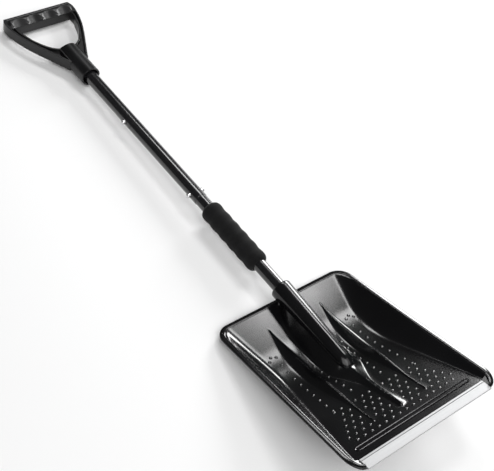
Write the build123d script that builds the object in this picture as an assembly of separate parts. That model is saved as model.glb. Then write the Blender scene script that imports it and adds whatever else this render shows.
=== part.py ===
from build123d import *
import os
from math import asin, atan, cos, degrees, hypot, radians, sin, tan

# Three-piece snow shovel, in millimetres.
# Everything is drawn in the handle's frame: +Y runs along the handle towards the D-grip,
# +Z is the side that carries the snow, and y = 0 is the mouth of the blade's socket.
# At the end the whole shovel is laid on its back, on its heel and its crossbar.

# ---- Driving dimensions ------------------------------------------------------------

# handle stations, measured from the socket's mouth
socket_depth = 80
foam_start_y = 50
foam_length = 127
lower_button_y = 214
upper_button_y = 397
grip_crossbar_y = 683

# tubes
tube_od = 22.0
tube_wall = 0.6
slip_gap = 0.08
fixed_gap = 0.05
button_to_tube_end = 15.5
lower_overlap = 70
neck_length = 64
neck_step = 0.5
bore_end_gap = 0.5

# blade, in its own frame: u runs back from the front edge along the floor, v is height
blade_lift = 22
blade_front_y = -304
blade_front_z = 49
wall = 3.0
bend_u = 209
bend_radius = 176
rear_slope = 29.1
rim_front_height = 4.5
rim_rise = 0.1485
rim_rear_half_width = 114.4
rim_rear_u = 296
rim_flare = 0.043
side_lean = 0.8
foot_radius = 38
flange_width = 5
flange_depth = 3.5
rear_corner_radius = 20
front_corner_u = 26
front_half_width = 120

# socket boss
boss_mouth_radius = 16.5
boss_end_radius = 12.5
boss_length = 152
boss_drop = 3.0

# aluminium wear strip
strip_half_length = 115.5
strip_depth = 16
strip_sheet = 1.6
strip_nose = 1.5
strip_bevel_u = 8
strip_nose_solid = 4
strip_end_gap = 0.2

# D-grip
grip_depth = 18
crossbar_radius = 13.4
crossbar_half_length = 61
collar_radius = 17
crossbar_to_throat = 95.5
collar_length = 72.5
collar_recess_depth = 14
collar_recess_wall = 2.6
top_tube_depth = 44
finger_pitch = 29
finger_length = 26
finger_width = 15
finger_depth = 2.4
finger_tilt = 30
grip_rim = 3.0
grip_web = 6.0

# foam sleeve
foam_radius = 17.2
foam_end_radius = 6

# snap buttons and their springs
button_radius = 3.8
button_proud = 5.6
button_gap = 0.1
button_flange_radius = 5.2
button_flange = 1.3
leaf_thickness = 0.6
leaf_width = 9
leaf_run = 34
press_gap = 0.25

# fasteners
screw_radius = 2.0
socket_screw_y = -30
grip_screw_inset = 30
screw_head_radius = 4.2
screw_head = 2.4
rivet_radius = 2.0
rivet_head_radius = 3.6
rivet_head = 1.2
rivet_count = 5
rivet_pitch = 50
rivet_u = 10
rivet_bite = 2.2

# ---- Values worked out from them ---------------------------------------------------

tube_r = tube_od / 2
tube_bore_r = tube_r - tube_wall
slim_r = tube_bore_r - slip_gap
slim_bore_r = slim_r - tube_wall
lower_joint_y = lower_button_y - button_to_tube_end
upper_joint_y = upper_button_y - button_to_tube_end
lower_tube_top_y = lower_joint_y + lower_overlap
neck_top_y = upper_joint_y + neck_length
throat_y = grip_crossbar_y - crossbar_to_throat
collar_end_y = throat_y - collar_length
top_tube_top_y = collar_end_y + top_tube_depth
grip_screw_y = collar_end_y + grip_screw_inset
flange_x = (slim_bore_r**2 - button_flange_radius**2) ** 0.5 - button_gap
leaf_x = flange_x - button_flange
button_tip_x = tube_r + button_proud
button_travel = button_tip_x - tube_bore_r + press_gap
rim_tilt = degrees(atan(rim_rise))
wall_angle = atan(1 / side_lean)
side_wall = wall / sin(wall_angle)


def rod(radius, y0, y1):
    """A round bar along the handle, from y0 to y1."""
    return Pos(0, (y0 + y1) / 2, 0) * Rot(90, 0, 0) * Cylinder(radius, abs(y1 - y0))


def pipe(outer, inner, y0, y1):
    """A tube along the handle."""
    return rod(outer, y0, y1) - rod(inner, y0 - 1, y1 + 1)


def cross_bar(radius, x0, x1, y, z=0):
    """A round bar across the handle, from x0 to x1."""
    return Pos((x0 + x1) / 2, y, z) * Rot(0, 90, 0) * Cylinder(radius, abs(x1 - x0))


def slab(points, half_width):
    """A side profile, given as (y, z) points, drawn out to both sides."""
    return extrude(Plane.YZ * make_face(Polyline(*points, close=True)), half_width, both=True)


# ---- Blade -------------------------------------------------------------------------
# One moulding of black plastic: a shallow scoop with leaning side walls, a rim flange, a
# half-round socket on a raised leaf, two side ribs and a bead behind the front edge.

blade_place = Pos(0, blade_front_y, blade_front_z) * Rot(-blade_lift, 0, 0)
reach = 60
rear_reach = 420
ceiling = 260


def floor_v(u):
    """Height of the scoop's floor and rear wall above the flat front part, at u."""
    setback = bend_radius * tan(radians(rear_slope / 2))
    if u <= bend_u - setback:
        return 0.0
    if u >= bend_u + setback * cos(radians(rear_slope)):
        return (u - bend_u) * tan(radians(rear_slope))
    run = u - (bend_u - setback)
    return bend_radius - (bend_radius**2 - run**2) ** 0.5


def rim_v(u):
    """Height of the rim's flat top at u."""
    return rim_front_height + rim_rise * u


def rim_half_width(u):
    """Half the scoop's inner width along the rim at u."""
    return rim_rear_half_width + rim_flare * (rim_rear_u - u)


def above_floor(drop):
    """All the space above the floor, or above the underside when drop is the wall."""
    slope = radians(rear_slope)
    bend = (bend_u + drop * tan(slope / 2), -drop)
    back = (rear_reach, bend[1] + (rear_reach - bend[0]) * tan(slope))
    outline = Polyline((-reach, -drop), bend, back, (rear_reach, ceiling), (-reach, ceiling), close=True)
    face = make_face(outline)
    corner = face.vertices().sort_by_distance((bend[0], bend[1], 0))[0]
    face = fillet(corner, bend_radius + drop)
    return extrude(Plane.YZ * face, 2 * ceiling, both=True)


def between_walls(grow):
    """The space between the two leaning side walls, each moved out by grow."""
    def level(v):
        half = [rim_half_width(u) - side_lean * (rim_v(u) - v) + grow for u in (-reach, rear_reach)]
        points = [(-half[0], -reach, v), (half[0], -reach, v), (half[1], rear_reach, v), (-half[1], rear_reach, v)]
        return Wire.make_polygon([Vector(*p) for p in points])
    return Solid.make_loft([level(-20), level(ceiling)], ruled=True)


def valley_edges(space):
    """The two long valleys where the side walls meet the floor, the bend and the rear wall."""
    found = []
    for edge in space.edges():
        middle = edge.position_at(0.5)
        ends = [edge.position_at(0), edge.position_at(1)]
        lowest = min(abs(p.Z - floor_v(p.Y)) for p in [middle, *ends])
        along = abs(ends[0].Y - ends[1].Y) > 5
        if lowest < wall + 1 and along and abs(middle.X) > 20:
            found.append(edge)
    return found


def scoop_space(drop, grow, radius):
    """The scoop's hollow, or its outer body, with rounded valleys."""
    space = above_floor(drop) & between_walls(grow)
    return fillet(valley_edges(space), radius)


def rim_plane_slab(outline, thickness):
    """A flat plate hung under the rim plane, cut to an outline given in (x, u)."""
    plate = extrude(outline, -thickness)
    return Pos(0, 0, rim_front_height) * Rot(rim_tilt, 0, 0) * plate


def blade_outline(grow):
    """The scoop seen from above: round rear corners and front corners that turn in."""
    side = rim_half_width(front_corner_u) + side_wall + grow
    rear_side = rim_half_width(rim_rear_u) + side_wall + grow
    rear = rim_rear_u + wall + grow
    turn = (front_half_width + 0.72 * (side - front_half_width), 0.42 * front_corner_u)
    right = [
        Line((0, rear), (rear_side, rear)),
        Line((rear_side, rear), (side, front_corner_u)),
        ThreePointArc((side, front_corner_u), turn, (front_half_width, 0)),
        Line((front_half_width, 0), (0, 0)),
        Line((0, 0), (0, rear)),
    ]
    half = make_face([line.edge() for line in right])
    whole = half + mirror(half, Plane.YZ)
    corners = [v for v in whole.vertices() if abs(v.Y - rear) < 0.1 and abs(v.X) > 50]
    return fillet(corners, rear_corner_radius + grow)


def ridge(stations, centre_x):
    """A raised leaf on the floor. Each station is (u, height, half top width, half foot width)."""
    sink = wall / 2
    rows = []
    for u, height, top, foot in stations:
        low = floor_v(u) - sink
        high = floor_v(u) + height
        rows.append([(-foot, u, low), (foot, u, low), (top, u, high), (-top, u, high)])
    def triangle(a, b, c):
        return Face(Wire.make_polygon([Vector(centre_x + p[0], p[1], p[2]) for p in (a, b, c)]))
    faces = [triangle(rows[0][0], rows[0][1], rows[0][2]), triangle(rows[0][0], rows[0][2], rows[0][3])]
    faces += [triangle(rows[-1][0], rows[-1][2], rows[-1][1]), triangle(rows[-1][0], rows[-1][3], rows[-1][2])]
    for here, there in zip(rows, rows[1:]):
        for k in range(4):
            a, b = here[k], here[(k + 1) % 4]
            c, d = there[(k + 1) % 4], there[k]
            faces += [triangle(a, d, c), triangle(a, c, b)]
    return Solid(Shell(faces))


rib_x = 49
rib_stations = [
    (58, 2.0, 0.6, 1.6),
    (84, 3.6, 0.5, 2.6),
    (112, 6.0, 0.4, 5.5),
    (142, 8.3, 0.4, 9.0),
    (172, 9.6, 0.4, 11.0),
    (200, 9.6, 0.4, 10.5),
    (225, 7.6, 0.4, 8.0),
    (247, 4.4, 0.4, 4.6),
    (268, 0.6, 0.4, 1.2),
]
leaf_stations = [
    (55, 4.6, 1.4, 3.4),
    (74, 3.8, 2.2, 6.0),
    (92, 3.4, 2.6, 8.0),
    (118, 4.6, 4.0, 10.0),
    (145, 7.6, 9.0, 18.0),
    (170, 8.8, 18.0, 24.5),
    (192, 8.8, 19.5, 26.5),
    (212, 8.8, 20.0, 27.0),
    (234, 8.2, 19.5, 26.0),
    (255, 7.0, 18.0, 23.0),
    (290, 1.8, 16.0, 20.0),
]
bead_u = 31
bead_half_length = 104
bead_width = 9
bead_height = 1.0


def make_pan():
    outer = scoop_space(wall, side_wall, foot_radius + wall)
    hollow = scoop_space(0, 0, foot_radius)
    top = [(-reach, rim_v(-reach)), (rear_reach, rim_v(rear_reach)), (rear_reach, -reach), (-reach, -reach)]
    body = outer & slab(top, 2 * ceiling)
    behind_front = slab([(0, -reach), (0, ceiling), (rear_reach, ceiling), (rear_reach, -reach)], ceiling)
    body = body + (rim_plane_slab(blade_outline(flange_width), flange_depth) & behind_front)
    body = body & extrude(blade_outline(flange_width), ceiling, both=True)
    return body - hollow


def rivet_places():
    first = -rivet_pitch * (rivet_count - 1) / 2
    return [first + k * rivet_pitch for k in range(rivet_count)]


def upright_rod(radius, low, high, x, y):
    return Pos(x, y, (low + high) / 2) * Cylinder(radius, high - low)


def strip_rivet_holes():
    low = -wall - strip_sheet - 1
    high = -wall + rivet_bite + strip_end_gap
    return [upright_rod(rivet_radius + strip_end_gap, low, high, x, rivet_u) for x in rivet_places()]


def make_boss():
    mouth = Plane((0, 0, 0), x_dir=(1, 0, 0), z_dir=(0, -1, 0)) * Circle(boss_mouth_radius)
    end = Plane((0, -boss_length, -boss_drop), x_dir=(1, 0, 0), z_dir=(0, -1, 0)) * Circle(boss_end_radius)
    return loft([mouth, end]) & (blade_place * above_floor(wall / 2))


def socket_screw_seat():
    """Height of the socket screw's seat, sunk half a wall into the underside."""
    hinge_point = blade_place * Pos(0, bend_u, 0)
    run = socket_screw_y - hinge_point.position.Y
    return hinge_point.position.Z + run * tan(radians(rear_slope - blade_lift)) - wall / 2


def make_blade():
    ribs = [ridge(rib_stations, side * rib_x) for side in (-1, 1)]
    leaf = ridge(leaf_stations, 0)
    bead = Pos(0, bead_u, 0) * extrude(SlotOverall(2 * bead_half_length, bead_width), bead_height)
    solid = make_pan() + ribs + [leaf, bead]
    lip = Pos(0, strip_nose_solid / 2, 0) * Box(2 * (strip_half_length + strip_end_gap), strip_nose_solid, reach)
    land_depth = strip_depth + strip_end_gap
    land = Box(2 * (strip_half_length + strip_end_gap), land_depth, reach)
    solid = solid - lip - Pos(0, land_depth / 2, reach / 2) * land
    for hole in strip_rivet_holes():
        solid = solid - hole
    solid = blade_place * solid + make_boss()
    solid = solid - rod(slim_r + fixed_gap, -socket_depth, 5)
    seat = socket_screw_seat()
    solid = solid - upright_rod(screw_head_radius + strip_end_gap, seat - reach, seat, 0, socket_screw_y)
    return solid - upright_rod(screw_radius + fixed_gap, seat - 1, 0, 0, socket_screw_y)


# ---- Aluminium wear strip ----------------------------------------------------------
# A folded channel pushed over the blade's front lip, with a bevelled nose, riveted from below.

def make_wear_strip():
    underside = -wall - strip_sheet
    nose_top = strip_sheet - (strip_bevel_u + strip_nose) * 0.26
    profile = [
        (strip_depth, 0),
        (strip_depth, strip_sheet),
        (strip_bevel_u, strip_sheet),
        (-strip_nose, nose_top),
        (-strip_nose, -wall + 0.4),
        (strip_nose_solid / 4, underside),
        (strip_depth, underside),
        (strip_depth, -wall),
        (strip_nose_solid, -wall),
        (strip_nose_solid, 0),
    ]
    strip = slab(profile, strip_half_length)
    for hole in strip_rivet_holes():
        strip = strip - hole
    return blade_place * strip


def make_strip_rivets():
    rivets = []
    underside = -wall - strip_sheet
    for x in rivet_places():
        head = upright_rod(rivet_head_radius, underside - rivet_head, underside, x, rivet_u)
        head = fillet(head.edges().sort_by(Axis.Z)[0], rivet_head * 0.8)
        shank = upright_rod(rivet_radius, underside - rivet_head / 2, -wall + rivet_bite, x, rivet_u)
        rivets.append(blade_place * (head + shank))
    return Compound([rivet.solid() for rivet in rivets])


# ---- Tubes -------------------------------------------------------------------------
# Painted steel. The lower tube is the slim one, the middle tube slips over it and carries
# a swaged neck at its top, and the top tube slips over that neck.

def button_holes(y, sides):
    radius = button_radius + button_gap
    return [cross_bar(radius, 0, side * 2 * tube_r, y) for side in sides]


def make_lower_tube():
    tube = pipe(slim_r, slim_bore_r, -socket_depth, lower_tube_top_y)
    for hole in button_holes(lower_button_y, (-1, 1)):
        tube = tube - hole
    return tube - upright_rod(screw_radius + fixed_gap, -tube_od, 0, 0, socket_screw_y)


def make_middle_tube():
    shoulder = upper_joint_y - bore_end_gap - neck_step
    profile = [
        (tube_bore_r, lower_joint_y),
        (tube_r - neck_step, lower_joint_y),
        (tube_r, lower_joint_y + neck_step),
        (tube_r, shoulder),
        (slim_r, shoulder + neck_step),
        (slim_r, neck_top_y),
        (slim_bore_r, neck_top_y),
        (slim_bore_r, shoulder - neck_step),
        (tube_bore_r, shoulder - 2 * neck_step),
    ]
    tube = revolve(make_face(Polyline(*profile, close=True)), Axis.Y)
    for hole in button_holes(lower_button_y, (-1, 1)) + button_holes(upper_button_y, (-1,)):
        tube = tube - hole
    return tube


def make_top_tube():
    tube = pipe(tube_r, tube_bore_r, upper_joint_y, top_tube_top_y)
    for hole in button_holes(upper_button_y, (-1,)):
        tube = tube - hole
    return tube - upright_rod(screw_radius + fixed_gap, -tube_od, 0, 0, grip_screw_y)


# ---- Snap buttons and their springs ------------------------------------------------
# A steel button stands on the arm of a bent leaf spring inside the slim tube, and snaps out
# through both tubes. The lower joint has a pair, the upper joint one on the left.

def make_spring(y):
    bend_y = y - leaf_run
    outer = Circle(leaf_x) - Circle(leaf_x - leaf_thickness)
    half_ring = outer & Pos(0, -leaf_x / 2) * Rectangle(3 * leaf_x, leaf_x)
    arm_length = leaf_run + button_flange_radius
    arm = Pos(leaf_x - leaf_thickness / 2, arm_length / 2) * Rectangle(leaf_thickness, arm_length)
    strip = half_ring + arm + mirror(arm, Plane.YZ)
    return Pos(0, bend_y, 0) * extrude(strip, leaf_width / 2, both=True)


def make_button(y, side):
    pin = cross_bar(button_radius, flange_x - button_flange / 2, button_tip_x, y)
    pin = fillet(pin.edges().sort_by(Axis.X)[-1], button_radius * 0.7)
    flange = cross_bar(button_flange_radius, leaf_x, flange_x, y)
    button = pin + flange
    return button if side > 0 else mirror(button, Plane.YZ)


# ---- D-grip ------------------------------------------------------------------------
# One moulding: a round crossbar with four finger hollows, two curved arms of I section and
# a round collar that the top tube is pushed into and screwed.

# the arms' lines, as (x, y) from the middle of the crossbar
outside_line = [(17, -131), (33.5, -97), (50, -63), (59.5, -38), (65, -15), (66.5, 1), (63, 13)]
inside_line = [(13, -93.2), (26.5, -84), (38.5, -67), (47, -48.5), (52, -32), (54, -crossbar_radius)]
arm_outside = [(x, grip_crossbar_y + y) for x, y in outside_line]
arm_inside = [(x, grip_crossbar_y + y) for x, y in inside_line]


def half_outline():
    """The right half of the grip's flat outline, from the collar up to the crossbar."""
    side = [
        Line((0, arm_outside[0][1]), arm_outside[0]),
        Spline(*arm_outside),
        Line(arm_outside[-1], (0, arm_outside[-1][1])),
        Line((0, arm_outside[-1][1]), (0, arm_outside[0][1])),
    ]
    return make_face([line.edge() for line in side])


def half_hand_gap():
    top = arm_inside[-1]
    side = [
        Spline((0, throat_y), *arm_inside, tangents=((1, 0), (0, 1))),
        Line(top, (0, top[1])),
        Line((0, top[1]), (0, throat_y)),
    ]
    return make_face([line.edge() for line in side])


def moved(points, distance):
    """A line of points, moved to its left by distance."""
    result = []
    for k, (x, y) in enumerate(points):
        before = points[max(k - 1, 0)]
        after = points[min(k + 1, len(points) - 1)]
        run = hypot(after[0] - before[0], after[1] - before[1])
        left = (-(after[1] - before[1]) / run, (after[0] - before[0]) / run)
        result.append((x + distance * left[0], y + distance * left[1]))
    return result


def half_pocket():
    """The sunken web on each face of one arm, inside its raised rims."""
    outer = moved(arm_outside[:-2], grip_rim)
    inner = moved(arm_inside, -grip_rim)
    side = [
        Spline(*outer),
        Line(outer[-1], inner[-1]),
        Spline(*inner[::-1]),
        Line(inner[0], outer[0]),
    ]
    pocket = make_face([line.edge() for line in side])
    return pocket - Pos(0, throat_y - reach) * Rectangle(2 * collar_radius - 1, 4 * reach)


def both_sides(half):
    return half + mirror(half, Plane.YZ)


def finger_hollows():
    scoop_radius = (finger_length**2 / 4 + finger_depth**2) / (2 * finger_depth)
    centre = crossbar_radius + scoop_radius - finger_depth
    cutters = []
    for k in range(4):
        x = (k - 1.5) * finger_pitch
        cutter = Pos(x, 0, centre) * Rot(90, 0, 0) * Cylinder(scoop_radius, finger_width)
        cutters.append(Pos(0, grip_crossbar_y, 0) * Rot(finger_tilt, 0, 0) * cutter)
    return cutters


def make_d_grip():
    half = grip_depth / 2
    body = extrude(both_sides(half_outline()), half, both=True)
    body = body + rod(collar_radius, collar_end_y, throat_y + 4)
    body = body - extrude(both_sides(half_hand_gap()), 2 * half, both=True)
    pocket = extrude(both_sides(half_pocket()), half)
    body = body - Pos(0, 0, grip_web / 2) * pocket
    body = body - Pos(0, 0, -grip_web / 2 - half) * pocket
    bar = cross_bar(crossbar_radius, -crossbar_half_length, crossbar_half_length, grip_crossbar_y)
    bar = fillet(bar.edges().filter_by(GeomType.CIRCLE), 4)
    body = body + bar
    for cutter in finger_hollows():
        body = body - cutter
    body = body - rod(tube_r + fixed_gap, collar_end_y - 1, top_tube_top_y)
    body = body - rod(collar_radius - collar_recess_wall, collar_end_y - 1, collar_end_y + collar_recess_depth)
    seat = grip_screw_seat()
    body = body - upright_rod(screw_head_radius + strip_end_gap, seat - reach, seat, 0, grip_screw_y)
    return body - upright_rod(screw_radius + fixed_gap, seat - 1, 0, 0, grip_screw_y)


def grip_screw_seat():
    return -collar_radius + screw_head + 0.6


def make_screw(seat, y):
    head = upright_rod(screw_head_radius, seat - screw_head, seat, 0, y)
    head = fillet(head.edges().sort_by(Axis.Z)[0], screw_head * 0.5)
    return head + upright_rod(screw_radius, seat - screw_head / 2, -slim_bore_r + 3, 0, y)


# ---- Foam grip ---------------------------------------------------------------------
# A thick sleeve of black foam round the lower tube, with rounded ends.

def make_foam_grip():
    sleeve = rod(foam_radius, foam_start_y, foam_start_y + foam_length)
    sleeve = fillet(sleeve.edges().filter_by(GeomType.CIRCLE), foam_end_radius)
    return sleeve - rod(slim_r + 2 * fixed_gap, foam_start_y - 1, foam_start_y + foam_length + 1)


# ---- Assembly, laid down on the heel and the crossbar -------------------------------

pieces = {
    "blade": make_blade(),
    "wear_strip": make_wear_strip(),
    "strip_rivets": make_strip_rivets(),
    "socket_screw": make_screw(socket_screw_seat(), socket_screw_y),
    "lower_tube": make_lower_tube(),
    "foam_grip": make_foam_grip(),
    "lower_spring": make_spring(lower_button_y),
    "lower_button_left": make_button(lower_button_y, -1),
    "lower_button_right": make_button(lower_button_y, 1),
    "middle_tube": make_middle_tube(),
    "upper_spring": make_spring(upper_button_y),
    "upper_button": make_button(upper_button_y, -1),
    "top_tube": make_top_tube(),
    "d_grip": make_d_grip(),
    "grip_screw": make_screw(grip_screw_seat(), grip_screw_y),
}

heel = blade_place * Pos(0, bend_u - bend_radius * tan(radians(rear_slope / 2)), bend_radius)
heel_radius = bend_radius + wall
across = grip_crossbar_y - heel.position.Y
down = hypot(across, heel.position.Z)
rest_tilt = degrees(asin((crossbar_radius - heel_radius) / down) + asin(heel.position.Z / down))
tilted = Rot(rest_tilt, 0, 0)
boxes = [(tilted * piece).bounding_box() for piece in pieces.values()]
lowest = min(box.min.Z for box in boxes)
middle_y = (min(box.min.Y for box in boxes) + max(box.max.Y for box in boxes)) / 2
lay_down = Pos(0, -middle_y, -lowest) * tilted

os.makedirs("parts", exist_ok=True)
for name, piece in pieces.items():
    export_step(lay_down * piece, f"parts/{name}.step")
print("tilt", rest_tilt, "shift", -middle_y, -lowest, "travel", button_travel)
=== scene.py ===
from math import cos, pi, radians, sin, sqrt, tan

import bmesh
import bpy
from mathutils import Matrix, Vector


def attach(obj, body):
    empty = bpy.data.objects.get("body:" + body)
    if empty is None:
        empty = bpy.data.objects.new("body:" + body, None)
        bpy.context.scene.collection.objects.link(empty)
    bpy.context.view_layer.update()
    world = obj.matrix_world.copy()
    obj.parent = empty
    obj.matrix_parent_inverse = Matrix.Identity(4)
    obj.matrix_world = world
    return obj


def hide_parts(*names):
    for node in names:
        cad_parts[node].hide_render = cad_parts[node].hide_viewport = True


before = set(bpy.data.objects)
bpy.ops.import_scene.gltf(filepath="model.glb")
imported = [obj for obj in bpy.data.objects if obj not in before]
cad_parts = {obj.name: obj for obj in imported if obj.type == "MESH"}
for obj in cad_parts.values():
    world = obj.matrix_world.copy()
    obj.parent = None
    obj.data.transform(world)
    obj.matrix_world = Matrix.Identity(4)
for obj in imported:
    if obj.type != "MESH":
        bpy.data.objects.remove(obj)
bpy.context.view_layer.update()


# ---- Studio camera -------------------------------------------------------------------
# The shovel lies on its back on a pale floor, on its heel and its crossbar. The camera
# stands on the left of the blade and looks down over it towards the D-grip.

camera_data = bpy.data.cameras.new("camera")
camera_data.lens = 77.25
camera_data.sensor_width = 36.0
camera_data.sensor_fit = "HORIZONTAL"
camera_data.clip_end = 30.0
camera = bpy.data.objects.new("camera", camera_data)
bpy.context.scene.collection.objects.link(camera)
bpy.context.scene.camera = camera

# how the handle's own frame (x across, y towards the D-grip, z out of the snow side,
# zero at the socket's mouth) lies on the floor
handle_tilt = radians(-1.0887022)
handle_lie = Matrix.Translation((0.0, -0.19543157, 0.02815960)) @ Matrix.Rotation(handle_tilt, 4, "X")
camera_place = handle_lie @ Vector((-0.80531, -0.60730, 1.17410))
turn = handle_lie.to_3x3()
camera_right = turn @ Vector((0.77828, -0.60103, 0.18178))
camera_up = turn @ Vector((0.35982, 0.66414, 0.65532))
camera_back = turn @ Vector((-0.51460, -0.44462, 0.73315))
camera.matrix_world = Matrix((
    (camera_right.x, camera_up.x, camera_back.x, camera_place.x),
    (camera_right.y, camera_up.y, camera_back.y, camera_place.y),
    (camera_right.z, camera_up.z, camera_back.z, camera_place.z),
    (0.0, 0.0, 0.0, 1.0),
))


# ---- Scoop blade ---------------------------------------------------------------------
# One injection moulding in glossy black plastic, about 3 mm thick: a shallow pan with
# leaning side walls, two sharp-crested ribs, a raised centre leaf that runs out to a
# pointed ridge, a half-round handle socket, a folded rim and a bead behind the lip.

blade_lie = (
    handle_lie
    @ Matrix.Scale(0.001, 4)
    @ Matrix.Translation((0.0, -304.0, 49.0))
    @ Matrix.Rotation(radians(-22.0), 4, "X")
)
socket_lie = handle_lie @ Matrix.Scale(0.001, 4)

blade_thickness = 3.0
bend_start = 163.3
bend_radius = 176.0
bend_line = 209.0
rear_slope = radians(29.1)
rim_inner_rear = 115.2
rim_rear = 296.0
corner_radius = 17.0
front_turn = 27.0
rim_width = 7.5
horn_inner = (115.9, 4.5)
horn_outer = (116.8, 0.3)
beside_strip = 115.8
under_rim = 3.0
rib_centre = 49.0

# stations along the blade: (distance back from the lip, height or half width)
rib_crest = [
    (40, 0.0), (56, 0.0), (59, 2.2), (62, 1.7), (95, 2.2), (115, 4.2), (134, 6.6), (155, 9.8), (174, 11.4),
    (195, 9.8), (216, 7.6), (237, 4.6), (254, 1.8), (267, 0.5), (272, 0.0), (300, 0.0),
]
rib_foot = [
    (40, 1.2), (58, 1.4), (72, 1.8), (95, 3.4), (112, 6.0), (142, 10.5), (172, 12.5), (200, 12.5),
    (225, 11.0), (247, 6.6), (266, 2.2), (300, 1.4),
]
leaf_foot = [
    (0, 1.0), (48, 1.0), (55, 3.2), (71, 5.4), (90, 7.0), (112, 8.0), (122, 9.2), (130, 12.8), (138, 16.6),
    (146, 20.8), (158, 26.2), (169, 29.2), (194, 29.0), (212, 28.4), (229, 28.2), (248, 28.0), (262, 25.5),
    (274, 20.3), (288, 14.5), (296, 11.6), (310, 11.0),
]
leaf_top = [
    (0, 0.0), (118, 0.0), (135, 0.8), (145, 3.4), (150, 5.4), (158, 9.0), (165, 11.6), (180, 13.2),
    (200, 13.8), (240, 14.6), (270, 15.0), (280, 13.6), (288, 10.4), (296, 8.0), (310, 7.6),
]
leaf_rise = [
    (0, 0.0), (114, 0.0), (122, 0.5), (130, 1.7), (138, 3.0), (146, 4.6), (150, 5.8), (156, 8.0),
    (163, 11.0), (176, 15.8), (190, 19.8), (210, 23.0), (230, 25.0), (250, 22.6), (262, 20.2),
    (272, 17.4), (280, 13.0), (288, 7.4), (296, 2.4), (300, 0.0), (310, 0.0),
]
ridge_rise = [
    (0, 0.0), (52, 0.0), (54, 2.6), (57, 4.6), (62, 4.4), (74, 3.7), (92, 3.2), (118, 4.4), (145, 7.6),
    (160, 9.6), (180, 9.6), (310, 0.0),
]


def along(table, u):
    """The value of a table of (u, value) stations at u, on a smooth line through them."""
    if u <= table[0][0]:
        return table[0][1]
    if u >= table[-1][0]:
        return table[-1][1]
    k = 1
    while table[k][0] < u:
        k += 1
    u0, a = table[k - 1]
    u1, b = table[k]
    before = table[k - 2] if k > 1 else table[k - 1]
    after = table[k + 1] if k + 1 < len(table) else table[k]
    slope_in = (b - before[1]) / (u1 - before[0])
    slope_out = (after[1] - a) / (after[0] - u0)
    if (a - before[1]) * (b - a) <= 0:
        slope_in = 0.0
    if (b - a) * (after[1] - b) <= 0:
        slope_out = 0.0
    h = u1 - u0
    t = (u - u0) / h
    return (
        a * (1 + 2 * t) * (1 - t) ** 2
        + b * t * t * (3 - 2 * t)
        + slope_in * h * t * (1 - t) ** 2
        - slope_out * h * t * t * (1 - t)
    )


def pan_floor(u):
    """The floor, the bend and the rear wall."""
    bend_end = bend_line + bend_radius * tan(rear_slope / 2) * cos(rear_slope)
    if u <= bend_start:
        return 0.0
    if u >= bend_end:
        return (u - bend_line) * tan(rear_slope)
    return bend_radius - sqrt(bend_radius ** 2 - (u - bend_start) ** 2)


def rim_height(u):
    """The rim's flat top rises steadily to the back and dips towards the strip at the front."""
    dip = max(0.0, 1.0 - u / front_turn)
    return 4.5 + 0.1485 * u - 3.2 * dip * dip


def rim_inner(u):
    return rim_inner_rear + 0.0424 * (rim_rear - u)


def pan_height(x, u):
    """The pan without its ribs and leaf: floor and side wall run into each other in a round valley."""
    low = pan_floor(u)
    side = rim_height(u) - (rim_inner(u) - abs(x)) / 0.8
    soft = min(max(3.0 + (u - 40.0) * 0.085, 3.0), 20.0)
    near = max(soft - abs(low - side), 0.0) / soft
    return max(low, side) + near * near * soft / 4


def leaf_height(x, u):
    """How far the skirts under the socket, and the ridge in front of it, stand above the pan."""
    x = abs(x)
    foot = along(leaf_foot, u)
    if x >= foot:
        return 0.0
    top = min(along(leaf_top, u), foot - 0.5)
    rise = along(leaf_rise, u)
    climb = min((foot - x) / (foot - top), 1.0)
    skirt = rise * (climb * climb / 0.28 if climb < 0.14 else climb - 0.07) / 0.93
    crest = along(ridge_rise, u)
    crest = crest * (1 - x / foot) ** 1.2
    return (skirt ** 3 + crest ** 3) ** (1 / 3)


def rib_height(x, u):
    foot = along(rib_foot, u)
    t = abs(abs(x) - rib_centre) / foot
    if t >= 1:
        return 0.0
    return along(rib_crest, u) * (1 - t) ** 2.0


def blade_surface(x, u):
    """The top of the moulding at x across and u back from the lip."""
    return min(pan_height(x, u), rim_height(u)) + leaf_height(x, u) + rib_height(x, u)


def split(a, b, parts):
    return [a + (b - a) * k / parts for k in range(parts)]


def pan_columns(u):
    """Where the lines that run along the blade cross the row at u, from the middle outwards."""
    edge = along(leaf_foot, u)
    top = min(along(leaf_top, u), edge - 0.5)
    foot = along(rib_foot, u)
    valley = rim_inner(u) - 0.8 * rim_height(u) - 16.0
    valley = max(valley, rib_centre + foot + 4.0)
    beside = max(rib_centre - foot, edge + 1.0)
    line = split(0.0, top, 5) + split(top, edge, 12) + split(edge, beside, 4)
    line += split(beside, rib_centre, 7) + split(rib_centre, rib_centre + foot, 7)
    line += split(rib_centre + foot, valley, 5) + split(valley, rim_inner(u), 18)
    return line + [rim_inner(u), rim_inner(u) + under_rim]


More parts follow.
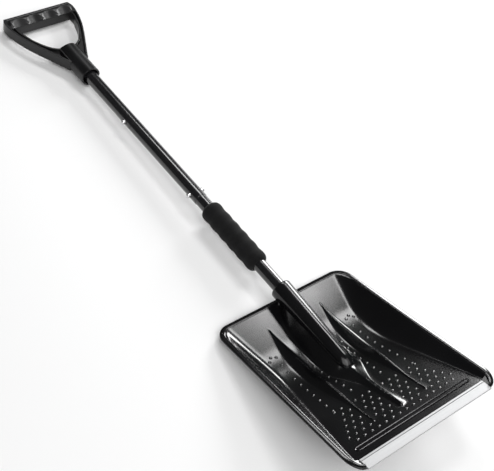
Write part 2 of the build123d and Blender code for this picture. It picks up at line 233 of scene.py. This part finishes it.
def rim_path(out):
    """The line of the rim's inner edge, moved outwards, from the left horn round to the right one."""
    half = []
    for k in range(1, 40):
        u = front_turn + (rim_rear - corner_radius - front_turn) * k / 40
        half.append((rim_inner(u), u))
    centre = (rim_inner(rim_rear - corner_radius) - corner_radius, rim_rear - corner_radius)
    for k in range(17):
        angle = k / 16 * pi / 2
        half.append((centre[0] + corner_radius * cos(angle), centre[1] + corner_radius * sin(angle)))
    for k in range(1, 13):
        half.append((centre[0] * (1 - k / 12), rim_rear))
    moved = []
    for k, (x, u) in enumerate(half):
        a = half[max(k - 1, 0)]
        b = half[k + 1] if k + 1 < len(half) else (-half[k - 1][0], half[k - 1][1])
        run = Vector((b[0] - a[0], b[1] - a[1])).normalized()
        moved.append((x + run.y * out, u - run.x * out))
    horn = []
    share = out / rim_width
    side = rim_inner(front_turn)
    for k in range(12):
        angle = k / 11 * pi / 2
        ends = []
        for (tip_x, tip_u), full_x in ((horn_inner, side), (horn_outer, side + rim_width)):
            end_x = tip_x + (full_x - tip_x) * sin(angle)
            ends.append((end_x, tip_u + (front_turn - tip_u) * (1 - cos(angle))))
        inner, outer = ends
        x = inner[0] + (outer[0] - inner[0]) * share
        u = inner[1] + (outer[1] - inner[1]) * share
        horn.append((max(x, beside_strip), u))
    right = horn + moved
    return [(-x, u) for x, u in right] + [(x, u) for x, u in right[-2::-1]]


def sheet_of(bm, rows, closed=False):
    """Joins rows of points with four-sided faces and returns the rows of vertices."""
    grid = [[bm.verts.new(p) for p in row] for row in rows]
    for here, there in zip(grid, grid[1:]):
        count = len(here)
        for k in range(count if closed else count - 1):
            n = (k + 1) % count
            bm.faces.new((here[k], here[n], there[n], there[k]))
    return grid


def make_object(name, bm, lie, sharp=30.0):
    """Turns a bmesh in millimetres into a finished object that lies where it belongs."""
    bmesh.ops.remove_doubles(bm, verts=bm.verts, dist=0.001)
    bmesh.ops.recalc_face_normals(bm, faces=bm.faces)
    mesh = bpy.data.meshes.new(name)
    bm.to_mesh(mesh)
    bm.free()
    mesh.transform(lie)
    mesh.shade_smooth()
    mesh.set_sharp_from_angle(angle=radians(sharp))
    piece = bpy.data.objects.new(name, mesh)
    bpy.context.scene.collection.objects.link(piece)
    return piece


def applied(piece):
    """A plain mesh object with the piece's modifiers worked in."""
    evaluated = piece.evaluated_get(bpy.context.evaluated_depsgraph_get())
    mesh = bpy.data.meshes.new_from_object(evaluated)
    piece.modifiers.clear()
    piece.data = mesh
    return piece


def inside_outline(x, u):
    """Keeps a point of the pan under the rim, whose rear corners are round."""
    side = rim_inner(u) + under_rim
    rear = rim_rear + under_rim
    x_sign = 1 if x >= 0 else -1
    x = min(abs(x), side)
    u = min(u, rear)
    centre = (rim_inner(rim_rear - corner_radius) - corner_radius, rim_rear - corner_radius)
    if x > centre[0] and u > centre[1]:
        dx, du = x - centre[0], u - centre[1]
        far = sqrt(dx * dx + du * du)
        if far > corner_radius + under_rim:
            x = centre[0] + dx * (corner_radius + under_rim) / far
            u = centre[1] + du * (corner_radius + under_rim) / far
    if u < front_turn:
        reach = sqrt(max(0.0, 1 - ((front_turn - u) / (front_turn - horn_inner[1])) ** 2))
        x = min(x, horn_inner[0] + under_rim + (rim_inner(front_turn) - horn_inner[0]) * reach)
    return x_sign * x, u


pan_bm = bmesh.new()
row_places = [16.2 + 1.4 * k for k in range(200)] + [rim_rear - 1.0, rim_rear, rim_rear + under_rim]
pan_rows = []
for u in row_places:
    right = pan_columns(min(u, rim_rear))
    line = [-x for x in right[:0:-1]] + right
    row = []
    for x in line:
        px, pu = inside_outline(x, u)
        row.append((px, pu, blade_surface(px, pu)))
    pan_rows.append(row)
sheet_of(pan_bm, pan_rows)
bmesh.ops.dissolve_degenerate(pan_bm, dist=0.01, edges=pan_bm.edges)
pan = make_object("blade_pan", pan_bm, Matrix.Identity(4))
shell = pan.modifiers.new("shell", "SOLIDIFY")
shell.thickness = blade_thickness
shell.offset = 1.0 if sum(p.normal.z for p in pan.data.polygons) < 0 else -1.0
applied(pan)

# the folded rim: its section as (outwards from the inner edge, up from the rim's height)
rim_section = [
    (-1.6, -2.0), (-1.1, -0.7), (-0.6, -0.05), (1.2, 0.45), (3.6, 0.2), (6.6, -0.1), (7.2, -0.35),
    (7.5, -0.9), (7.5, -2.2), (7.2, -2.8), (6.6, -3.1), (5.9, -3.0), (5.2, -2.6), (2.5, -3.2), (0.2, -4.2),
]
rim_bm = bmesh.new()
rim_loops = [rim_path(out) for out, _ in rim_section]
rim_rows = []
for k in range(len(rim_loops[0])):
    row = []
    for loop, (out, rise) in zip(rim_loops, rim_section):
        x, u = loop[k]
        row.append((x, u, rim_height(u) + rise))
    rim_rows.append(row)
rim_grid = sheet_of(rim_bm, rim_rows, closed=True)
rim_bm.faces.new(rim_grid[0])
rim_bm.faces.new(rim_grid[-1])
rim = make_object("blade_rim", rim_bm, Matrix.Identity(4), 40.0)

# the bead: a long slot-shaped ring with a sloped face towards the lip
bead_half_length = 101.6
bead_end_radius = 3.2
bead_back = 34.5
bead_front = 28.1
bead_middle = 31.3
bead_section = [(-1.5, -0.1), (-1.3, 0.1), (0.6, 1.0), (0.8, 1.05), (1.0, 0.9), (1.2, -0.1)]
bead_bm = bmesh.new()
bead_rows = []
bead_path = []
for side, across in ((1, bead_back), (-1, bead_front)):
    for k in range(41):
        bead_path.append((side * (-bead_half_length + 2 * bead_half_length * k / 40), across, 0.0, side))
    for k in range(1, 14):
        a = side * pi / 2 - k / 14 * pi
        x, u = side * bead_half_length + bead_end_radius * cos(a), bead_middle + bead_end_radius * sin(a)
        bead_path.append((x, u, cos(a), sin(a)))
for x, u, nx, nu in bead_path + bead_path[:1]:
    row = []
    for back, rise in bead_section:
        reach = back if nu >= 0 else -back
        row.append((x + reach * nx, u + reach * nu, rise))
    bead_rows.append(row)
sheet_of(bead_bm, bead_rows)
bead = make_object("blade_bead", bead_bm, Matrix.Identity(4), 60.0)

# the front lip under the strip, and the two horns beside it, as one thin closed plate
lip_bm = bmesh.new()


def closed_plate(bm, outline, top, bottom):
    """A plate with the given outline between two heights, each a function of x and u."""
    high = [bm.verts.new((x, u, top(x, u))) for x, u in outline]
    low = [bm.verts.new((x, u, bottom(x, u))) for x, u in outline]
    bm.faces.new(high)
    bm.faces.new(low[::-1])
    for k in range(len(outline)):
        n = (k + 1) % len(outline)
        bm.faces.new((high[k], low[k], low[n], high[n]))


lip_outline = [(-115.6, 4.2), (115.6, 4.2), (115.6, 17.0), (-115.6, 17.0)]
closed_plate(lip_bm, lip_outline, lambda x, u: -0.02, lambda x, u: -blade_thickness)
horn_outline = [(115.8, 0.4), (117.4, 0.6), (120.6, 2.0), (124.4, 7.0), (127.0, 17.5), (115.8, 17.5)]
for side in (-1, 1):
    horn = [(side * x, u) for x, u in horn_outline]
    closed_plate(lip_bm, horn, lambda x, u: min(pan_height(x, u), rim_height(u) - 1.0), lambda x, u: -2.6)
lip = make_object("blade_lip", lip_bm, Matrix.Identity(4))

# the socket: a half-round tapering boss with a flat ring at its mouth and a round nose, as
# (distance along the handle, radius, how far its axis has sunk)
around = 56
bore = 10.37
socket_bm = bmesh.new()
to_pan = (socket_lie.inverted() @ blade_lie).inverted()
from_pan = to_pan.inverted()
socket_stations = [(0.0, 14.4, 0.0), (-0.3, 15.4, 0.0), (-1.0, 16.1, 0.0), (-2.2, 16.5, 0.0)]
for k in range(1, 31):
    t = k / 30
    socket_stations.append((-2.2 - 138.8 * t, 16.5 - 3.7 * t, -2.8 * t))
for k in range(1, 15):
    a = k / 15 * pi / 2
    socket_stations.append((-141.0 - 22.0 * sin(a), 12.8 * cos(a), -2.8 - 4.0 * (1 - cos(a))))
socket_rows = []
for y, radius in ((-30.0, bore), (-0.6, bore), (0.0, bore + 0.6)):
    ring = [2 * pi * k / around for k in range(around)]
    socket_rows.append([Vector((radius * sin(a), y, radius * cos(a))) for a in ring])
for y, radius, z in socket_stations:
    row = []
    for k in range(around):
        a = 2 * pi * k / around
        place = Vector((radius * sin(a), y, z + radius * cos(a)))
        on_pan = to_pan @ place
        lowest = min(pan_height(on_pan.x, on_pan.y), rim_height(on_pan.y)) - 1.6
        if on_pan.z < lowest and on_pan.y < rim_rear + 6.0:
            on_pan.z = lowest
            place = from_pan @ on_pan
        row.append(place)
    socket_rows.append(row)
socket_grid = sheet_of(socket_bm, socket_rows, closed=True)
socket_bm.faces.new(socket_grid[0])
socket_bm.faces.new(socket_grid[-1])
socket_bm.transform(to_pan)
socket = make_object("blade_socket", socket_bm, Matrix.Identity(4), 42.0)

whole_bm = bmesh.new()
for part in (pan, rim, bead, lip, socket):
    whole_bm.from_mesh(part.data)
blade_mesh = bpy.data.meshes.new("scoop_blade")
whole_bm.to_mesh(blade_mesh)
whole_bm.free()
blade_mesh.transform(blade_lie)
for part in (pan, rim, bead, lip, socket):
    bpy.data.objects.remove(part)
blade_mesh.shade_smooth()
blade_mesh.set_sharp_from_angle(angle=radians(38.0))
blade = bpy.data.objects.new("scoop_blade", blade_mesh)
bpy.context.scene.collection.objects.link(blade)


def new_material(name):
    """A fresh node material: returns it with its node list, its links and its main shader."""
    material = bpy.data.materials.new(name)
    material.use_nodes = True
    nodes, links = material.node_tree.nodes, material.node_tree.links
    return material, nodes, links, nodes["Principled BSDF"]


def noise(nodes, links, vector, scale, detail, roughness):
    """A noise texture on the given coordinates: returns its output."""
    texture = nodes.new("ShaderNodeTexNoise")
    texture.inputs["Scale"].default_value = scale
    texture.inputs["Detail"].default_value = detail
    texture.inputs["Roughness"].default_value = roughness
    links.new(vector, texture.inputs["Vector"])
    return texture.outputs["Fac"]


def tint(nodes, links, source, dark_at, dark, light_at, light, shader):
    """Runs the base colour from a dark to a light tone as the source rises."""
    tone = nodes.new("ShaderNodeValToRGB")
    tone.color_ramp.elements[0].position = dark_at
    tone.color_ramp.elements[0].color = tuple(dark) + (1.0,)
    tone.color_ramp.elements[1].position = light_at
    tone.color_ramp.elements[1].color = tuple(light) + (1.0,)
    links.new(source, tone.inputs["Fac"])
    links.new(tone.outputs["Color"], shader.inputs["Base Color"])


def haze(nodes, links, source, low, high, shader, start=0.0, end=1.0):
    """Runs the roughness from low to high as the source rises from start to end."""
    gloss = nodes.new("ShaderNodeMapRange")
    gloss.inputs["From Min"].default_value = start
    gloss.inputs["From Max"].default_value = end
    gloss.inputs["To Min"].default_value = low
    gloss.inputs["To Max"].default_value = high
    links.new(source, gloss.inputs["Value"])
    links.new(gloss.outputs["Result"], shader.inputs["Roughness"])


def relief(nodes, links, source, strength, distance, shader):
    """Raises the surface with the source and returns the bump node."""
    bump = nodes.new("ShaderNodeBump")
    bump.inputs["Strength"].default_value = strength
    bump.inputs["Distance"].default_value = distance
    links.new(source, bump.inputs["Height"])
    links.new(bump.outputs["Normal"], shader.inputs["Normal"])
    return bump


def moulded_plastic(name, colour, roughness, grain_size, grain_depth, edge_radius=0.0):
    """Glossy moulded plastic with a fine grain, faint flow shading and, if asked for, soft edges."""
    material, nodes, links, shader = new_material(name)
    shader.inputs["IOR"].default_value = 1.49
    place = nodes.new("ShaderNodeTexCoord").outputs["Object"]
    grain = noise(nodes, links, place, 1.0 / grain_size, 3.0, 0.55)
    cloud = noise(nodes, links, place, 14.0, 2.0, 0.5)
    haze(nodes, links, cloud, roughness * 0.88, roughness * 1.15, shader, 0.3, 0.7)
    tint(nodes, links, cloud, 0.3, [c * 0.85 for c in colour], 0.72, [c * 1.2 for c in colour], shader)
    bump = relief(nodes, links, grain, 0.35, grain_depth, shader)
    if edge_radius:
        soft_edge = nodes.new("ShaderNodeBevel")
        soft_edge.samples = 6
        soft_edge.inputs["Radius"].default_value = edge_radius
        links.new(soft_edge.outputs["Normal"], bump.inputs["Normal"])
    return material


blade_plastic = moulded_plastic("blade_plastic", (0.004, 0.004, 0.0045), 0.17, 0.0011, 0.00003)
blade.data.materials.clear()
blade.data.materials.append(blade_plastic)
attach(blade, "blade_section")
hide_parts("blade")


# ---- Pips on the blade's floor -------------------------------------------------------
# Small round-topped pips, moulded with the blade, that keep wet snow from sticking. They
# stand in lines beside the ribs and in staggered rows in front of them.

pip_radius = 0.0026
pip_height = 0.0013
pip_places = []
for side in (-1, 1):
    for k in range(10):
        u = 233.0 - 13.9 * k
        pip_places.append((side * (67.5 + 0.065 * (233.0 - u)), u))
    for k in range(8):
        u = 220.0 - 13.8 * k
        pip_places.append((side * (33.5 - 0.055 * (220.0 - u)), u))
    pip_places.append((side * 75.0, 236.0))
    pip_places.append((side * 81.0, 231.0))
for k in range(7):
    u = 104.0 - 9.8 * k
    shift = 6.4 if k % 2 else 0.0
    for j in range(-8, 9):
        x = 12.8 * j + shift
        near_rib = abs(abs(x) - rib_centre) < 5.0 and u > 54
        near_ridge = abs(x) < along(leaf_foot, u) + 4.0 and u > 50
        if not near_rib and not near_ridge and abs(x) < 98.0 - 0.35 * abs(u - 50.0):
            pip_places.append((x, u))


def pip_tree():
    """A node tree that sets a small dome on every point and turns it all into one mesh."""
    tree = bpy.data.node_groups.new("floor_pips", "GeometryNodeTree")
    tree.interface.new_socket("Geometry", in_out="INPUT", socket_type="NodeSocketGeometry")
    for name, size in (("Pip Radius", pip_radius), ("Pip Height", pip_height)):
        made = tree.interface.new_socket(name, in_out="INPUT", socket_type="NodeSocketFloat")
        made.default_value = size
    tree.interface.new_socket("Material", in_out="INPUT", socket_type="NodeSocketMaterial")
    tree.interface.new_socket("Geometry", in_out="OUTPUT", socket_type="NodeSocketGeometry")
    nodes, links = tree.nodes, tree.links
    source = nodes.new("NodeGroupInput")
    result = nodes.new("NodeGroupOutput")
    dome = nodes.new("GeometryNodeMeshUVSphere")
    dome.inputs["Segments"].default_value = 14
    dome.inputs["Rings"].default_value = 8
    dome.inputs["Radius"].default_value = 1.0
    size = nodes.new("ShaderNodeCombineXYZ")
    links.new(source.outputs["Pip Radius"], size.inputs["X"])
    links.new(source.outputs["Pip Radius"], size.inputs["Y"])
    links.new(source.outputs["Pip Height"], size.inputs["Z"])
    shaped = nodes.new("GeometryNodeTransform")
    links.new(dome.outputs["Mesh"], shaped.inputs["Geometry"])
    links.new(size.outputs["Vector"], shaped.inputs["Scale"])
    lean = nodes.new("GeometryNodeInputNamedAttribute")
    lean.data_type = "FLOAT_VECTOR"
    lean.inputs["Name"].default_value = "lean"
    turn_to = nodes.new("FunctionNodeEulerToRotation")
    links.new(lean.outputs["Attribute"], turn_to.inputs["Euler"])
    placed = nodes.new("GeometryNodeInstanceOnPoints")
    links.new(source.outputs["Geometry"], placed.inputs["Points"])
    links.new(shaped.outputs["Geometry"], placed.inputs["Instance"])
    links.new(turn_to.outputs["Rotation"], placed.inputs["Rotation"])
    solid = nodes.new("GeometryNodeRealizeInstances")
    links.new(placed.outputs["Instances"], solid.inputs["Geometry"])
    smooth = nodes.new("GeometryNodeSetShadeSmooth")
    links.new(solid.outputs["Geometry"], smooth.inputs["Geometry"])
    painted = nodes.new("GeometryNodeSetMaterial")
    links.new(smooth.outputs["Geometry"], painted.inputs["Geometry"])
    links.new(source.outputs["Material"], painted.inputs["Material"])
    links.new(painted.outputs["Geometry"], result.inputs["Geometry"])
    return tree


pip_gloss = moulded_plastic("pip_gloss", (0.0045, 0.0045, 0.005), 0.1, 0.0011, 0.00001)
pip_gloss.node_tree.nodes["Principled BSDF"].inputs["IOR"].default_value = 1.85
pip_points = bpy.data.meshes.new("floor_pips")
spots = []
leans = []
step = 0.5
for x, u in pip_places:
    rise_x = (blade_surface(x + step, u) - blade_surface(x - step, u)) / (2 * step)
    rise_u = (blade_surface(x, u + step) - blade_surface(x, u - step)) / (2 * step)
    normal = blade_lie.to_3x3() @ Vector((-rise_x, -rise_u, 1.0)).normalized()
    spots.append(blade_lie @ Vector((x, u, blade_surface(x, u) - 0.1)))
    leans.append(normal.to_track_quat("Z", "Y").to_euler())
pip_points.from_pydata(spots, [], [])
lean_data = pip_points.attributes.new("lean", "FLOAT_VECTOR", "POINT")
for k, lean_angle in enumerate(leans):
    lean_data.data[k].vector = (lean_angle.x, lean_angle.y, lean_angle.z)
pips = bpy.data.objects.new("floor_pips", pip_points)
bpy.context.scene.collection.objects.link(pips)
pip_maker = pips.modifiers.new("pips", "NODES")
pip_maker.node_group = pip_tree()
pip_inputs = {"Pip Radius": pip_radius, "Pip Height": pip_height, "Material": pip_gloss}
for socket_item in pip_maker.node_group.interface.items_tree:
    if socket_item.name in pip_inputs:
        pip_maker[socket_item.identifier] = pip_inputs[socket_item.name]
applied(pips)
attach(pips, "blade_section")


# ---- Wear strip and its rivets -------------------------------------------------------
# A strip of pale aluminium folded over the front lip, with a long bevel, a fine groove
# behind it and a square nose. Five rivets hold it from below.

def bright_aluminium(name, colour, roughness, streak, metallic=0.75):
    """Mill-finish aluminium with fine lengthwise streaks, a few scuffs and a dull patina."""
    material, nodes, links, shader = new_material(name)
    shader.inputs["Metallic"].default_value = metallic
    place = nodes.new("ShaderNodeTexCoord").outputs["Object"]
    stretch = nodes.new("ShaderNodeMapping")
    stretch.inputs["Scale"].default_value = (6.0, 900.0, 900.0)
    links.new(place, stretch.inputs["Vector"])
    lines = noise(nodes, links, stretch.outputs["Vector"], 1.0, 4.0, 0.6)
    scuff = noise(nodes, links, place, 70.0, 5.0, 0.7)
    both = nodes.new("ShaderNodeMath")
    both.operation = "MULTIPLY"
    links.new(lines, both.inputs[0])
    links.new(scuff, both.inputs[1])
    tint(nodes, links, both.outputs["Value"], 0.1, [c * 0.82 for c in colour], 0.4, colour, shader)
    haze(nodes, links, scuff, roughness * 0.8, roughness * 1.3, shader)
    relief(nodes, links, lines, 0.4, streak, shader)
    return material


def finish_node(name, material):
    """Gives a CAD node its finish."""
    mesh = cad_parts[name].data
    mesh.materials.clear()
    mesh.materials.append(material)


strip_bm = bmesh.new()
strip_nose = -1.5
strip_back = 16.0
strip_profile = [
    (16.0, 0.0), (16.0, 1.4), (15.8, 1.6), (13.1, 1.6), (12.95, 1.45), (12.9, 0.4), (11.9, 0.4),
    (11.85, 1.35), (11.7, 1.45), (-1.2, -0.8), (-1.5, -1.1), (-1.5, -2.6), (1.0, -4.6), (16.0, -4.6),
    (16.0, -3.0), (4.0, -3.0), (4.0, 0.0),
]
strip_rows = []
for x, inset in ((-115.5, 0.3), (-115.2, 0.0), (115.2, 0.0), (115.5, 0.3)):
    row = []
    for u, v in strip_profile:
        u = min(max(u, strip_nose + inset), strip_back - inset)
        row.append((x, u, v - inset * (1 if v > 0.5 else 0)))
    strip_rows.append(row)
strip_grid = sheet_of(strip_bm, strip_rows, closed=True)
strip_bm.faces.new(strip_grid[0])
strip_bm.faces.new(strip_grid[-1])
strip = make_object("folded_strip", strip_bm, blade_lie, 8.0)
strip_aluminium = bright_aluminium("strip_aluminium", (0.52, 0.525, 0.53), 0.5, 0.00003, metallic=0.4)
strip.data.materials.append(strip_aluminium)
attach(strip, "blade_section")
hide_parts("wear_strip")
finish_node("strip_rivets", bright_aluminium("rivet_aluminium", (0.84, 0.85, 0.86), 0.35, 0.00001))


# ---- Tubes ---------------------------------------------------------------------------
# Three drawn steel tubes in glossy black powder coat. The lower one stands in the socket,
# the middle one slips over it, and the top one over the middle one's neck.

def black_paint_finish():
    """Clear-coated black paint with a slight orange peel and faint lengthwise slide marks."""
    material, nodes, links, shader = new_material("black_paint")
    shader.inputs["Coat Weight"].default_value = 0.6
    shader.inputs["Coat Roughness"].default_value = 0.08
    place = nodes.new("ShaderNodeTexCoord").outputs["Object"]
    orange_peel = noise(nodes, links, place, 420.0, 2.0, 0.5)
    stretch = nodes.new("ShaderNodeMapping")
    stretch.inputs["Scale"].default_value = (500.0, 9.0, 500.0)
    links.new(place, stretch.inputs["Vector"])
    slide_marks = noise(nodes, links, stretch.outputs["Vector"], 1.0, 3.0, 0.6)
    tint(nodes, links, slide_marks, 0.35, (0.006, 0.006, 0.007), 0.8, (0.014, 0.014, 0.015), shader)
    haze(nodes, links, slide_marks, 0.16, 0.3, shader)
    relief(nodes, links, orange_peel, 0.18, 0.00003, shader)
    return material


black_paint = black_paint_finish()
for tube_node in ("lower_tube", "middle_tube", "top_tube"):
    finish_node(tube_node, black_paint)


# ---- Foam sleeve ---------------------------------------------------------------------
# A thick sleeve of closed-cell black foam pushed over the lower tube, with shallow finger
# waves along it and soft rounded ends.

sleeve_start = 50.0
sleeve_length = 127.0
sleeve_peak = 17.1
sleeve_valley = 16.1
wave_count = 6
sleeve_bm = bmesh.new()
sleeve_profile = []
end_round = 6.5
for k in range(9):
    a = k / 8 * pi / 2
    sleeve_profile.append((sleeve_start + end_round * (1 - cos(a)), -end_round * (1 - sin(a))))
for k in range(1, 90):
    sleeve_profile.append((sleeve_start + end_round + (sleeve_length - 2 * end_round) * k / 90, 0.0))
for k in range(9):
    a = pi / 2 - k / 8 * pi / 2
    y = sleeve_start + sleeve_length - end_round * (1 - cos(a))
    sleeve_profile.append((y, -end_round * (1 - sin(a))))
sleeve_bore = 10.42
inner_start = (sleeve_start + 3.0, -20.0)
inner_end = (sleeve_start + sleeve_length - 3.0, -20.0)
sleeve_rows = []
for y, inset in [inner_start] + sleeve_profile + [inner_end]:
    row = []
    for k in range(64):
        a = 2 * pi * k / 64
        phase = (y - sleeve_start) / sleeve_length * wave_count * 2 * pi
        wave = 0.5 - 0.5 * cos(phase)
        radius = max(sleeve_valley + (sleeve_peak - sleeve_valley) * wave + inset, sleeve_bore)
        row.append((radius * sin(a), y, radius * cos(a)))
    sleeve_rows.append(row)
sleeve_rows.append(sleeve_rows[0])
sheet_of(sleeve_bm, sleeve_rows, closed=True)
sleeve = make_object("foam_sleeve", sleeve_bm, socket_lie, 50.0)


def foam_finish():
    """Dull black foam with fine cells and shallow wrinkles."""
    material, nodes, links, shader = new_material("foam")
    shader.inputs["Specular IOR Level"].default_value = 0.18
    shader.inputs["Sheen Weight"].default_value = 0.06
    place = nodes.new("ShaderNodeTexCoord").outputs["Object"]
    cells = nodes.new("ShaderNodeTexVoronoi")
    cells.inputs["Scale"].default_value = 900.0
    links.new(place, cells.inputs["Vector"])
    wrinkle = noise(nodes, links, place, 160.0, 4.0, 0.6)
    tint(nodes, links, wrinkle, 0.3, (0.004, 0.004, 0.0043), 0.75, (0.009, 0.009, 0.0094), shader)
    haze(nodes, links, wrinkle, 0.8, 0.97, shader)
    height = nodes.new("ShaderNodeMath")
    height.operation = "ADD"
    links.new(cells.outputs["Distance"], height.inputs[0])
    links.new(wrinkle, height.inputs[1])
    relief(nodes, links, height.outputs["Value"], 0.7, 0.00025, shader)
    return material


sleeve.data.materials.append(foam_finish())
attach(sleeve, "blade_section")
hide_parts("foam_grip")


# ---- Snap buttons and their springs --------------------------------------------------
# Polished steel pins on bent spring strips, which snap out through both tubes.

def steel_finish(name, colour, roughness):
    """Plain bright steel with a light haze."""
    material, nodes, links, shader = new_material(name)
    shader.inputs["Metallic"].default_value = 1.0
    place = nodes.new("ShaderNodeTexCoord").outputs["Object"]
    specks = noise(nodes, links, place, 600.0, 3.0, 0.6)
    tint(nodes, links, specks, 0.3, [c * 0.8 for c in colour], 0.7, colour, shader)
    haze(nodes, links, specks, roughness * 0.8, roughness * 1.3, shader)
    return material


button_steel = steel_finish("button_steel", (0.78, 0.78, 0.79), 0.22)
for button_node in ("lower_button_left", "lower_button_right", "upper_button"):
    finish_node(button_node, button_steel)
spring_steel = steel_finish("spring_steel", (0.5, 0.5, 0.52), 0.35)
for spring_node in ("lower_spring", "upper_spring"):
    finish_node(spring_node, spring_steel)


# ---- D-grip --------------------------------------------------------------------------
# One thick-walled moulding in black plastic: a crossbar with finger hollows, two curved
# arms of I section and a round collar over the top tube.

grip_plastic = moulded_plastic("grip_plastic", (0.0045, 0.0045, 0.005), 0.33, 0.0009, 0.00006, 0.0012)
finish_node("d_grip", grip_plastic)


# ---- Screws --------------------------------------------------------------------------
# Two zinc-plated pan-head screws on the underside, one in the blade's socket and one in
# the D-grip's collar.

zinc_screw = steel_finish("zinc_screw", (0.66, 0.67, 0.68), 0.3)
for screw_node in ("socket_screw", "grip_screw"):
    finish_node(screw_node, zinc_screw)


# ---- Studio floor and lights ---------------------------------------------------------
# A plain pale floor in a dark studio. A small softbox lights the blade's rear wall, a wider
# one draws the lines along the tubes, one stands low on the right, and two large weak ones
# fill in from the left and the front.

floor_bm = bmesh.new()
floor_outline = [(-6.0, -6.0), (6.0, -6.0), (6.0, 6.0), (-6.0, 6.0)]
closed_plate(floor_bm, floor_outline, lambda x, u: -0.0005, lambda x, u: -0.02)
floor_mesh = bpy.data.meshes.new("studio_floor")
floor_bm.to_mesh(floor_mesh)
floor_bm.free()
studio_floor = bpy.data.objects.new("studio_floor", floor_mesh)
bpy.context.scene.collection.objects.link(studio_floor)
floor_white, nodes, links, shader = new_material("floor_white")
shader.inputs["Base Color"].default_value = (0.93, 0.93, 0.93, 1.0)
shader.inputs["Roughness"].default_value = 0.9
shader.inputs["Specular IOR Level"].default_value = 0.1
studio_floor.data.materials.append(floor_white)


def softbox(name, aim, direction, distance, size, power):
    """A rectangular softbox that looks at one point of the shovel from some way off."""
    light = bpy.data.lights.new(name, "AREA")
    light.shape = "RECTANGLE"
    light.size, light.size_y = size
    light.energy = power
    lamp = bpy.data.objects.new(name, light)
    target = Vector(aim)
    place = target + Vector(direction).normalized() * distance
    lamp.location = place
    lamp.rotation_euler = (target - place).to_track_quat("-Z", "Y").to_euler()
    bpy.context.scene.collection.objects.link(lamp)


softbox("softbox_blade", (0.05, -0.27, 0.05), (0.515, 0.285, 0.806), 2.5, (0.5, 0.5), 11.5)
softbox("softbox_tubes", (0.0, 0.33, 0.1), (0.38, 0.445, 0.81), 3.0, (0.9, 0.6), 19.0)
softbox("softbox_low_right", (0.0, -0.27, 0.05), (0.837, 0.445, 0.32), 1.6, (0.5, 0.55), 19.0)
softbox("softbox_fill", (0.0, 0.0, 0.0), (-0.45, -0.55, 0.75), 4.5, (4.4, 4.4), 130.0)
softbox("softbox_front", (0.0, 0.0, 0.0), (0.1, -0.8, 0.9), 3.2, (3.0, 2.4), 30.0)

world = bpy.data.worlds.new("studio")
bpy.context.scene.world = world
world.use_nodes = True
background = world.node_tree.nodes["Background"]
background.inputs["Color"].default_value = (1.0, 1.0, 1.0, 1.0)
background.inputs["Strength"].default_value = 0.06
bpy.context.scene.view_settings.view_transform = "Standard"
bpy.context.scene.view_settings.look = "None"
